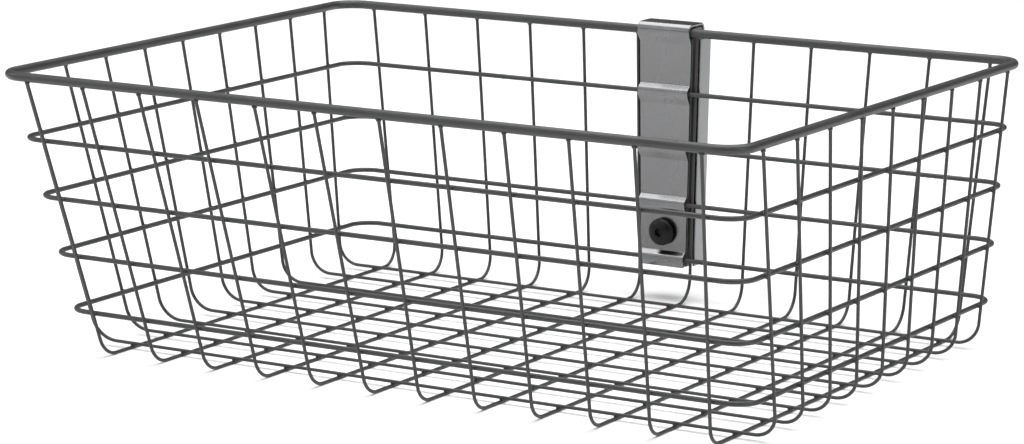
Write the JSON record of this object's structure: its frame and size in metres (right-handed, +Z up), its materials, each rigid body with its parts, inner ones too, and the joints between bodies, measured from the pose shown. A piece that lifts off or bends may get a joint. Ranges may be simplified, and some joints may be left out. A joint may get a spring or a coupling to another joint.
{
  "type": "wire basket",
  "caption": "Welded wire basket with a thick rim, flared open mesh walls, a mesh floor and a screw clamp bracket in its upright back wall.",
  "frame": {"origin": "middle of the whole part's box in X and Y, on the surface that the floor wires stand on", "axes": "+X along the basket's long side, +Y to the rear, out of the bracket's back face, +Z up"},
  "size_m": [0.426, 0.3359, 0.1552],
  "materials": {
    "coated_wire": "dark grey powder coat, satin",
    "bracket_sheet": "zinc plated pressed sheet, satin",
    "liner": "black moulded rubber, matte",
    "screw": "black oxide, satin",
    "nut": "zinc plated"
  },
  "bodies": {
    "basket": {"rim_wire": "coated_wire", "ring_wire_1": "coated_wire", "ring_wire_2": "coated_wire", "ring_wire_3": "coated_wire", "ring_wire_4": "coated_wire", "cross_wire_01": "coated_wire", "cross_wire_02": "coated_wire", "cross_wire_03": "coated_wire", "cross_wire_04": "coated_wire", "cross_wire_05": "coated_wire", "cross_wire_06": "coated_wire", "cross_wire_07": "coated_wire", "cross_wire_08": "coated_wire", "cross_wire_09": "coated_wire", "cross_wire_10": "coated_wire", "cross_wire_11": "coated_wire", "cross_wire_12": "coated_wire", "long_wire_01": "coated_wire", "long_wire_02": "coated_wire", "long_wire_03": "coated_wire", "long_wire_04": "coated_wire", "long_wire_05": "coated_wire", "long_wire_06": "coated_wire", "long_wire_07": "coated_wire", "long_wire_08": "coated_wire", "long_wire_09": "coated_wire", "clamp_strap": "bracket_sheet", "saddle_liner": "liner", "rear_channel": "bracket_sheet", "weld_nut": "nut"},
    "washer": {"screw_washer": "screw"},
    "screw": {"clamp_screw": "screw"}
  },
  "joints": [
    {"name": "screw_travel", "type": "slide", "parent": "basket", "child": "washer", "axis": [0, -1, 0], "range_m": [0, 0.004]},
    {"name": "screw_turn", "type": "hinge", "parent": "washer", "child": "screw", "pos_m": [0, 0.14905, 0.0389], "axis": [0, -1, 0], "range_deg": [0, 1440]}
  ],
  "couplings": [
    {"joint": "screw_turn", "follows": "screw_travel", "rad_per_m": 6283.2}
  ]
}
